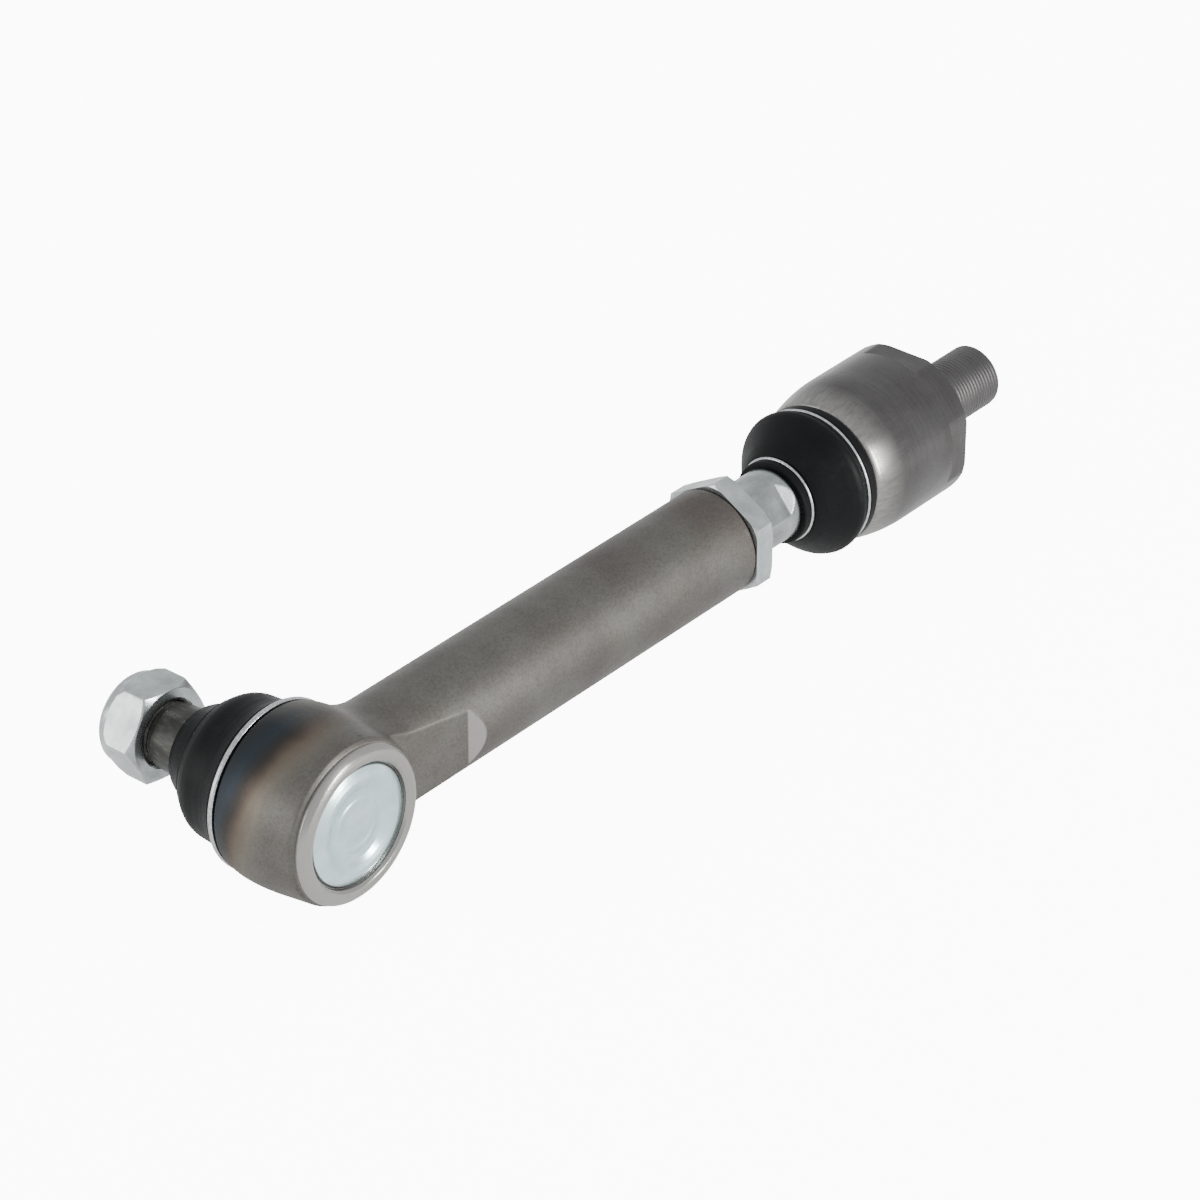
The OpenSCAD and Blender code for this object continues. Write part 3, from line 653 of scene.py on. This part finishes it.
def neck_skin(turn):
    """Seam on the socket, and the rings of skin from there along neck and barrel into the threaded bore."""
    columns = len(turn)
    spot_face = SPOT_FACE_R - SHOULDER_R
    first, cut_in = neck_row(0.0, turn, SHOULDER_Y)
    inward = 0.9 * np.clip(cut_in, 0, 1)
    from_stud = first - [STUD_X, 0, 0]
    radius = np.hypot(from_stud[:, 0], from_stud[:, 2])
    seam = first - from_stud * [1, 0, 1] * (inward / radius)[:, None]
    rings = [first]
    rings += [neck_row(g, turn, SHOULDER_Y)[0] for g in (0.06, 0.25, 0.55, 1.0, 1.35, spot_face)]
    rings += [neck_row(g, turn)[0] for g in (spot_face, 2.05, 2.4, 2.8, 3.3)]
    rings += [neck_row(g, turn)[0] for g in np.linspace(3.9, NECK_END, 22)]
    start = STUD_X + WALL_R + NECK_END
    along = np.concatenate([
        np.arange(start + 0.8, FLAT_END - 0.6, 0.8), np.arange(FLAT_END - 0.5, FLAT_END + 6.6, 0.25),
        np.linspace(FLAT_END + 8, BARREL_END - 1.2, 60)])
    for x in along:
        limit = neck_half(np.array(x)) / np.maximum(np.abs(np.cos(turn)), 1e-3)
        radius = soft_min(np.full(columns, BARREL_R), limit, EDGE_ROUNDING)
        rings.append(about_rod(np.full(columns, x), radius, turn))
    mouth = outline((
        (BARREL_END - 1.2, BARREL_R, 0.3), (BARREL_END - 0.5, BARREL_R, 0.3),
        (BARREL_END, BARREL_R - 0.5, 0.2), (BARREL_END, BORE_R + 1.2), (BARREL_END - 1.2, BORE_R)), 0.4)[1:]
    rings += [about_rod(np.full(columns, x), np.full(columns, r), turn) for x, r in mouth]
    for x in np.arange(BARREL_END - 1.45, BARREL_END - 18, -0.25):
        radius = BORE_R + BORE_THREAD_DEPTH * thread_groove(x, turn)
        rings.append(about_rod(np.full(columns, x), radius, turn))
    for depth, r in ((30, BORE_R), (62, BORE_R), (67, 0.0)):
        rings.append(about_rod(np.full(columns, BARREL_END - depth), np.full(columns, r), turn))
    return seam, np.array(rings)


def forging_mesh(columns=288):
    """Socket turned about the stud, with an opening where the neck's skin is sewn in."""
    rows = SOCKET_ROWS
    length = np.concatenate([[0], np.cumsum(np.linalg.norm(np.diff(rows, axis=0), axis=1))])
    turn = np.arange(columns) * 2 * math.pi / columns
    seam, rings = neck_skin(turn)

    # Seam and socket laid flat: length of profile across, wall length round the stud up
    from_stud = seam - [STUD_X, 0, 0]
    seam_r = np.hypot(from_stud[:, 0], from_stud[:, 2])
    corner = int(np.argmin(np.hypot(rows[:, 0] - SHOULDER_Y, rows[:, 1] - SHOULDER_R)))
    wall = slice(corner - len(SOCKET_WALL) + 1, corner + 1)
    flat_s = np.where(seam[:, 1] > SHOULDER_Y - 1e-3, length[corner] + SHOULDER_R - seam_r,
                      np.interp(seam[:, 1], rows[wall, 0], length[wall]))
    flat_t = np.arctan2(from_stud[:, 2], from_stud[:, 0]) * WALL_R
    middle = (flat_s.min() + flat_s.max()) / 2
    bearing = np.arctan2(flat_t, flat_s - middle)
    order = np.argsort(bearing)
    size = np.hypot(flat_t, flat_s - middle)

    def seam_size(s, t):
        return np.interp(np.arctan2(t, s - middle), bearing[order], size[order], period=2 * math.pi)

    signed = (turn + math.pi) % (2 * math.pi) - math.pi
    grid_s = np.repeat(length[:, None], columns, 1)
    grid_t = np.repeat(signed[None, :] * WALL_R, len(rows), 0)
    kept = np.hypot(grid_t, grid_s - middle) > seam_size(grid_s, grid_t) + 0.3
    grid = about_stud(np.repeat(rows[:, :1], columns, 1), np.repeat(rows[:, 1:2], columns, 1),
                      np.repeat(turn[None, :], len(rows), 0))
    vertices = grid.reshape(-1, 3).tolist()
    faces = []
    edge_of = {}
    for i in range(len(rows)):
        for j in range(columns):
            corners = ((i, j), (i, (j + 1) % columns), ((i + 1) % len(rows), (j + 1) % columns),
                       ((i + 1) % len(rows), j))
            if all(kept[c] for c in corners):
                ids = [r * columns + c for r, c in corners]
                faces.append(ids)
                for a, b in zip(ids, ids[1:] + ids[:1]):
                    if (b, a) in edge_of:
                        del edge_of[(b, a)]
                    else:
                        edge_of[(a, b)] = True

    # Triangles between the opening's steps and the seam
    rim = sorted({v for pair in edge_of for v in pair})
    place_of = {v: i for i, v in enumerate(rim)}
    seam_start = len(vertices)
    vertices += seam.tolist()
    flat = [Vector((grid_s.flat[v], grid_t.flat[v])) for v in rim]
    flat += [Vector(pair) for pair in zip(flat_s, flat_t)]
    edges = [(place_of[a], place_of[b]) for a, b in edge_of]
    edges += [(len(rim) + j, len(rim) + (j + 1) % columns) for j in range(columns)]
    points, _, triangles, origins, _, _ = delaunay_2d_cdt(flat, edges, [], 1, 1e-6)
    real = rim + list(range(seam_start, seam_start + columns))
    for triangle in triangles:
        centre = sum((points[v] for v in triangle), Vector((0, 0))) / 3
        if math.hypot(centre.y, centre.x - middle) > seam_size(centre.x, centre.y) - 0.02:
            faces.append([real[origins[v][0]] for v in triangle])

    first = len(vertices)
    vertices += rings.reshape(-1, 3).tolist()
    below = [seam_start + j for j in range(columns)]
    for i in range(len(rings)):
        here = [first + i * columns + j for j in range(columns)]
        for j in range(columns):
            k = (j + 1) % columns
            faces.append((below[j], below[k], here[k], here[j]))
        below = here
    mesh = bpy.data.meshes.new("tie_rod_end_forging")
    mesh.from_pydata(vertices, [], faces)
    finish_mesh(mesh, faces_angle=38)
    return mesh


place("tie_rod_end_forging", forging_mesh(), FORGED, "forged_steel", "tie_rod_end", "barrel")


# Outer joint


def end_cap():
    """Flange under the rolled lip, groove beside it, crown, and the stepped round in the middle."""
    rows = outline((
        (-18.4, 0.0), (-18.4, 22.6, 0.3), (-21.2, 22.6, 0.3), (-21.2, 20.5, 0.3), (-20.3, 20.1, 0.2),
        (-20.3, 19.6, 0.3), (-21.1, 19.1, 0.5), (-21.7, 17.8, 1.2), (-22.35, 16.2, 1.2), (-22.4, 15.0, 1.2),
        (-21.8, 13.4, 1.5), (-20.85, 11.6, 1.2), (-20.6, 10.2, 1.0), (-20.65, 9.2, 0.6), (-20.95, 8.5, 0.6),
        (-21.0, 7.6, 0.6), (-20.75, 6.8, 0.6), (-20.7, 5.0, 2), (-20.8, 0.0)), 0.35)
    return lathe("pressed_end_cap", rows, about_stud)


place("pressed_end_cap", end_cap(), BRIGHT_ZINC, "zinc_plated_steel", "end_cap", "barrel")


def stud_nut():
    """Chamfered hexagon with a round collar that holds the nylon insert."""
    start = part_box("stud_nut")[0].y / MM
    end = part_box("stud_nut")[1].y / MM
    hex_end = start + 13.0
    first_flat = math.radians(28)
    rows = outline((
        (start + 1.3, 10.05), (start, 11.5), (start, 14.6, 0.3), (start + 1.6, 17.33),
        (hex_end - 3.4, 17.33, 1.5), (hex_end - 1.2, 16.3, 1.2), (hex_end, 15.1, 0.6),
        (end - 2.6, 14.7, 1.0), (end - 1.3, 13.7, 1.2), (end - 0.4, 12.3, 0.8), (end, 11.0, 0.3),
        (end - 0.2, 10.68), (end - 1.1, 10.65), (end - 1.3, 10.05), (start + 1.3, 10.05)), 0.4)[:-1]

    def cut(along, radius, turn):
        hexagon = hexagon_radius(turn, STUD_NUT_FLATS, first_flat)
        return np.where(radius > 13.6, soft_min(radius, hexagon, 0.35), radius)
    return lathe("stud_lock_nut", rows, about_stud, cut, columns=360, closed=True)


place("stud_lock_nut", stud_nut(), ZINC, "zinc_plated_steel", "stud_nut", "stud_nut")


def ball_stud():
    """Ball with a flat underneath, neck, taper, thread relief and thread with a centre hole in its end."""
    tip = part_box("ball_stud")[1].y / MM
    thread_start = (55.4, STUD_THREAD_R)
    flat = -math.sqrt(BALL_R ** 2 - 6 ** 2) + 0.6
    ball = [(flat, 0.0), (flat, 5.6, 0.3)]
    ball += [(-BALL_R * math.cos(a), BALL_R * math.sin(a)) for a in np.radians(np.arange(22, 147, 4))]
    stem = [(14.0, 9.1, 0.2), (20.0, 9.2, 6), (24.0, 9.9, 6), (28.6, 11.6, 5), (30.4, 12.0, 1.5),
            (53.0, 10.6, 0.2), (53.8, 8.95, 0.3), (54.6, 8.95, 0.3), thread_start]
    end = [(tip - 1.0, STUD_THREAD_R), (tip, 9.0), (tip, 3.2, 0.3), (tip - 1.6, 2.4), (tip - 3.4, 0.0)]
    threaded = outline([thread_start, end[0]], 0.18)[1:]
    rows = np.concatenate([outline(ball + stem, 0.7), threaded, outline(end, 0.4)[1:]])
    cut = thread_cut(STUD_THREAD_R, 55.0, tip + 1.0)
    return lathe("ground_ball_stud", rows, about_stud, cut, columns=192)


place("ground_ball_stud", ball_stud(), PHOSPHATED, "stud_steel", "ball_stud", "ball_stud")


def outer_boot():
    """Bead in the clamp ring, bulging wall, fold, cone and lip on the taper, then back along the inside."""
    rows = outline((
        (11.8, 24.36), (11.8, 25.8, 0.3), (13.7, 25.8, 0.1), (13.75, 26.3, 0.3), (14.8, 26.3, 0.6),
        (16.2, 25.3, 1.5), (18.2, 24.5, 3), (20.4, 24.0, 5), (23.5, 23.65, 8), (26.5, 23.5, 8),
        (28.6, 22.9, 4), (30.5, 21.8, 4), (32.0, 20.6, 1.2), (32.3, 19.9, 0.3), (33.1, 19.9, 0.35),
        (33.4, 19.1, 0.6), (34.6, 18.2, 3), (36.3, 17.0, 4), (38.2, 15.9, 3), (40.0, 15.1, 3),
        (41.4, 14.3, 1.0), (42.2, 13.6, 0.5), (42.5, 12.8, 0.3), (42.5, 11.6, 0.2), (42.0, 11.55, 0.1),
        (41.8, 13.4), (39.4, 13.4), (38.2, 13.3, 1), (35.8, 14.8, 2), (33.9, 17.0, 2), (31.9, 19.0, 2),
        (29.4, 20.9, 2), (27.3, 21.7, 2), (24.0, 21.9, 4), (20.0, 22.3, 4), (17.6, 23.0, 1),
        (16.4, 23.8, 0.5), (15.8, 24.36), (11.8, 24.36)), 0.6)[:-1]
    return lathe("outer_rubber_boot", rows, about_stud, columns=192, closed=True)


boot = place("outer_rubber_boot", outer_boot(), RUBBER, "boot_rubber", "outer_boot", None)
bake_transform(boot)


def clamp_ring():
    """Flat ring with a rolled outer face, round the boot's bead."""
    rows = outline((
        (11.65, 25.95), (11.65, 27.2, 0.45), (12.2, 27.45, 0.5), (13.2, 27.3, 0.6), (13.65, 26.8, 0.4),
        (13.65, 25.95), (11.65, 25.95)), 0.2)[:-1]
    return lathe("boot_clamp_ring", rows, about_stud, closed=True)


place("boot_clamp_ring", clamp_ring(), WIRE, "bright_ring_steel", "outer_boot_clamp_ring", "barrel")


# Rod and lock nut


def lock_nut():
    """Thin hexagon with both ends chamfered at 30 degrees."""
    a, b = LOCK_NUT_START, LOCK_NUT_END
    face, corner = 19.3, 20.79
    drop = (corner - face) * math.tan(math.radians(30))
    rows = outline((
        (a + 1.0, 12.05), (a, 13.05), (a, face, 0.3), (a + drop, corner), (b - drop, corner),
        (b, face, 0.3), (b, 13.05), (b - 1.0, 12.05), (a + 1.0, 12.05)), 0.4)[:-1]

    def cut(along, radius, turn):
        hexagon = hexagon_radius(turn, LOCK_NUT_FLATS, first_flat=0.0)
        return np.where(radius > 14, soft_min(radius, hexagon, 0.35), radius)
    return lathe("rod_lock_nut", rows, about_rod, cut, columns=360, closed=True)


place("rod_lock_nut", lock_nut(), ZINC, "zinc_plated_steel", "lock_nut", "lock_nut")


def inner_rod():
    """Threaded shank, collar with two spanner flats, boot seat, neck and ball."""
    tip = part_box("inner_rod")[0].x / MM
    collar = LOCK_NUT_END + 1.4
    lip = BOOT_LIP_X - 0.5
    front = HOUSING_FRONT
    thread_start = (tip + 1.5, ROD_THREAD_R)
    thread_end = (collar - 0.8, ROD_THREAD_R)
    end = outline(((tip, 0.0), (tip, 10.5, 0.2), thread_start), 0.5)
    threaded = outline((thread_start, thread_end), 0.3)[1:]
    body = outline((
        thread_end, (collar - 0.4, 11.6, 0.2), (collar, 12.0, 0.2), (collar + 0.5, 12.5, 0.3),
        (lip - 0.3, 12.5, 0.2), (lip + 0.2, 12.0, 0.2), (front - 18.5, 12.0, 0.8), (front - 15.6, 9.5, 1.5),
        (front - 14, 8.5, 1.5), (front - 1.5, 8.5, 2.0), (front + 1.4, 9.4)), 0.35)[1:]
    angles = np.radians(np.arange(36, 181, 3))
    ball = np.array([(INNER_BALL_X - BALL_R * math.cos(a), BALL_R * math.sin(a)) for a in angles])
    rows = np.concatenate([end, threaded, body, ball])
    thread = thread_cut(ROD_THREAD_R, tip + 0.2, collar - 0.6)
    flat_turn = math.radians(140)

    def cut(along, radius, turn):
        radius = np.where(along < collar - 0.5, thread(along, radius, turn), radius)
        depth = 11.0 + np.clip(along - (lip - 4.6), 0, 4.6) / 4.2 * 1.55
        flat = depth / np.maximum(np.abs(np.cos(turn - flat_turn)), 1e-3)
        milled = soft_min(radius, flat, 0.15)
        return np.where((along > collar - 0.6) & (along < lip - 0.2), milled, radius)
    return lathe("adjusting_rod", rows, about_rod, cut, columns=288)


place("adjusting_rod", inner_rod(), WORN_ZINC, "zinc_plated_steel", "inner_rod", "inner_rod")


# Inner joint


def inner_housing():
    """Bore, swaged front shoulder, round body, four spanner flats and threaded spigot."""
    front = HOUSING_FRONT
    square = HOUSING_FLAT_START
    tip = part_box("inner_housing")[1].x / MM
    thread_start = (1.8, SPIGOT_THREAD_R)
    thread_end = (tip - 1.2, SPIGOT_THREAD_R)
    corners = [(front - 7, 18.8), (front - 7, 21.5, 0.5), (front + 1.2, 21.5), (front + 1.2, 23.0, 0.4),
               (front + 1.8, 24.0, 0.5)]
    angles = np.radians(np.arange(17, -0.1, -1.0))
    curve = [(front + HOUSING_CURVE - HOUSING_CURVE_R * math.sin(a),
              HOUSING_R - HOUSING_CURVE_R * (1 - math.cos(a))) for a in angles]
    outside = outline(corners + curve + [(square - 0.6, HOUSING_R)], 0.6)
    step = outline(((square - 0.6, HOUSING_R), (square + 0.6, HOUSING_R)), 0.06)[1:]
    rear = outline((
        (square + 0.6, HOUSING_R), (-0.9, HOUSING_R, 0.2), (0.0, HOUSING_R - 0.9, 0.3), (0.0, 11.6, 0.5),
        (0.9, 10.7, 0.4), thread_start), 0.5)[1:]
    spigot = outline((thread_start, thread_end), 0.125)[1:]
    end = outline((
        thread_end, (tip, 9.7, 0.2), (tip, 3.2, 0.3), (tip - 1.6, 2.4), (tip - 3.2, 0.0)), 0.4)[1:]
    inside = outline((
        (front - 7, 18.8), (INNER_BALL_X - 16.5, 15.7), (INNER_BALL_X - 14.5, 15.7),
        (INNER_BALL_X - 12.3, 20.6), (-19.4, 20.6), (-15.0, 16.4), (-8.6, 16.4), (-8.6, 0.0)), 1.0)
    inside = inside[1:][::-1]
    rows = np.concatenate([inside, outside, step, rear, spigot, end])
    thread = thread_cut(SPIGOT_THREAD_R, 1.4, tip + 1, depth=0.14)

    def cut(along, radius, turn):
        half = HOUSING_FLAT + 3 * (1 - ease((along - square) / 0.5 + 0.5))
        flat = half / np.cos((turn + math.pi / 4) % (math.pi / 2) - math.pi / 4)
        milled = soft_min(radius, flat, 0.3)
        radius = np.where((along > square - 0.7) & (along < 0.5) & (radius > 20), milled, radius)
        return np.where(along > 1.0, thread(along, radius, turn), radius)
    return lathe("swaged_housing", rows, about_rod, cut, columns=288)


place("swaged_housing", inner_housing(), TURNED, "turned_steel", "inner_housing", "inner_housing")


def inner_boot():
    """Lip and wire groove on the rod, cone, bulge, then bead and wire groove on the housing's front."""
    f = HOUSING_FRONT
    rows = outline((
        (BOOT_LIP_X, 12.05), (BOOT_LIP_X, 13.9, 0.3), (BOOT_LIP_X + 0.5, 14.3, 0.3), (f - 21.4, 14.3, 0.2),
        (f - 21.2, 13.5, 0.2), (f - 19.8, 13.5, 0.2), (f - 19.5, 15.0, 0.3), (f - 18.7, 16.0, 0.8),
        (f - 17, 17.7, 3), (f - 14, 20.2, 12), (f - 10.6, 23.0, 8), (f - 8.6, 24.5, 2.5),
        (f - 7.2, 25.0, 1.6), (f - 5.9, 24.9, 1.2), (f - 5.2, 24.1, 0.5), (f - 4.6, 24.35, 0.3),
        (f - 4.1, 24.0, 0.3), (f - 3.7, 23.0, 0.2), (f - 2.3, 23.0, 0.2), (f - 1.9, 24.0, 0.3),
        (f + 0.4, 24.15, 0.4), (f + 1.05, 23.5, 0.3), (f + 1.05, 21.56), (f - 5.4, 21.56),
        (f - 6.4, 22.6, 0.5), (f - 7.4, 22.9, 0.5), (f - 9, 22.3, 1), (f - 11, 20.7, 2),
        (f - 13.2, 18.9, 2), (f - 15.4, 17.0, 2), (f - 17.4, 15.0, 1), (f - 18.5, 12.05),
        (BOOT_LIP_X, 12.05)), 0.6)[:-1]
    return lathe("inner_rubber_boot", rows, about_rod, columns=192, closed=True)


boot = place("inner_rubber_boot", inner_boot(), RUBBER, "boot_rubber", "inner_boot", None)
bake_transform(boot)


def wire_ring(name, node_name, ring_r):
    """Round wire bent into a closed ring, in the plane of its CAD node."""
    low_end, high_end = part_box(node_name)
    centre_x = (low_end.x + high_end.x) / 2 / MM
    turns = np.radians(np.arange(0, 360, 15))
    rows = np.stack([centre_x + WIRE_R * np.cos(turns), ring_r + WIRE_R * np.sin(turns)], -1)
    return lathe(name, rows, about_rod, columns=256, closed=True)


place("small_boot_wire", wire_ring("small_boot_wire", "inner_boot_small_wire", 14.15), WIRE,
      "bright_ring_steel", "inner_boot_small_wire", "boot_small_end")
place("large_boot_wire", wire_ring("large_boot_wire", "inner_boot_large_wire", 23.65), WIRE,
      "bright_ring_steel", "inner_boot_large_wire", "boot_large_end")


# Pieces hidden inside keep their CAD solids and get their finish
for node_name, material, slot in (
    ("cap_disc_spring", HARDENED, "spring_steel"),
    ("lower_seat", ACETAL, "seat_plastic"),
    ("upper_seat", ACETAL, "seat_plastic"),
    ("outer_boot_lip_ring", WIRE, "bright_ring_steel"),
    ("nut_locking_insert", NYLON, "insert_nylon"),
    ("front_seat", ACETAL, "seat_plastic"),
    ("rear_seat", ACETAL, "seat_plastic"),
    ("thrust_washer", HARDENED, "spring_steel"),
    ("thrust_disc_spring", HARDENED, "spring_steel"),
):
    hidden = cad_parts[node_name]
    hidden.data.materials.clear()
    hidden.data.materials.append(material)


# Studio


def studio_floor():
    """The flat top of the light table, just clear of the object's lowest point."""
    clearance = 0.0001
    top = cad_low.z - clearance
    reach = 4.0
    corners = ((-reach, -reach), (reach, -reach), (reach, reach), (-reach, reach))
    mesh = bpy.data.meshes.new("studio_floor")
    mesh.from_pydata([(x, y, top) for x, y in corners], [], [(0, 1, 2, 3)])
    mesh.materials.append(lit_acrylic())
    floor = bpy.data.objects.new("studio_floor", mesh)
    bpy.context.scene.collection.objects.link(floor)


def softbox(name, towards, distance, width, height, power):
    """A rectangular soft light in a direction from the middle of the object, aimed back at it."""
    middle = Vector((-0.13, 0.0, 0.0))
    lamp = bpy.data.lights.new(name, "AREA")
    lamp.shape = "RECTANGLE"
    lamp.size = width
    lamp.size_y = height
    lamp.energy = power
    holder = bpy.data.objects.new(name, lamp)
    holder.location = middle + Vector(towards).normalized() * distance
    holder.rotation_euler = (middle - holder.location).to_track_quat("-Z", "Y").to_euler()
    bpy.context.scene.collection.objects.link(holder)


studio_floor()
softbox("front_softbox", towards=(0.16, -0.94, 0.30), distance=1.5, width=0.22, height=0.8, power=23)
softbox("left_softbox", towards=(-0.81, 0.54, 0.16), distance=1.5, width=0.8, height=0.7, power=6)

# A white room, slightly darker overhead than at the horizon
surround = bpy.data.worlds.new("studio_surround")
surround.use_nodes = True
backdrop = surround.node_tree.nodes["Background"]
backdrop.inputs["Color"].default_value = linear("#f6f8fa")
direction = add(surround.node_tree, "ShaderNodeTexCoord")
heading = add(surround.node_tree, "ShaderNodeSeparateXYZ", {"Vector": direction.outputs["Generated"]})
fading = add(surround.node_tree, "ShaderNodeMapRange", {
    "Value": heading.outputs["Z"], "From Min": 0.0, "From Max": 0.8, "To Min": 1.1, "To Max": 1.0})
surround.node_tree.links.new(fading.outputs["Result"], backdrop.inputs["Strength"])
bpy.context.scene.world = surround

# Camera at the photograph's viewing angle: its own directions, and where it stands from the outer ball's
# centre, in millimetres
RIGHT = Vector((0.6405, -0.7680, 0.0))
UP = Vector((0.4049, 0.3377, 0.8497))
BACK = Vector((-0.6526, -0.5442, 0.5272))
FROM_BALL = 86.43 * RIGHT + 58.36 * UP + 1418.0 * BACK
lens = bpy.data.cameras.new("camera")
lens.sensor_width = 36.0
lens.lens = 145.4
lens.clip_start = 0.05
lens.clip_end = 20.0
camera = bpy.data.objects.new("camera", lens)
camera.location = Vector((STUD_X * MM, 0, 0)) + FROM_BALL * MM
camera.rotation_euler = Matrix((RIGHT, UP, BACK)).transposed().to_euler()
bpy.context.scene.collection.objects.link(camera)
bpy.context.scene.camera = camera
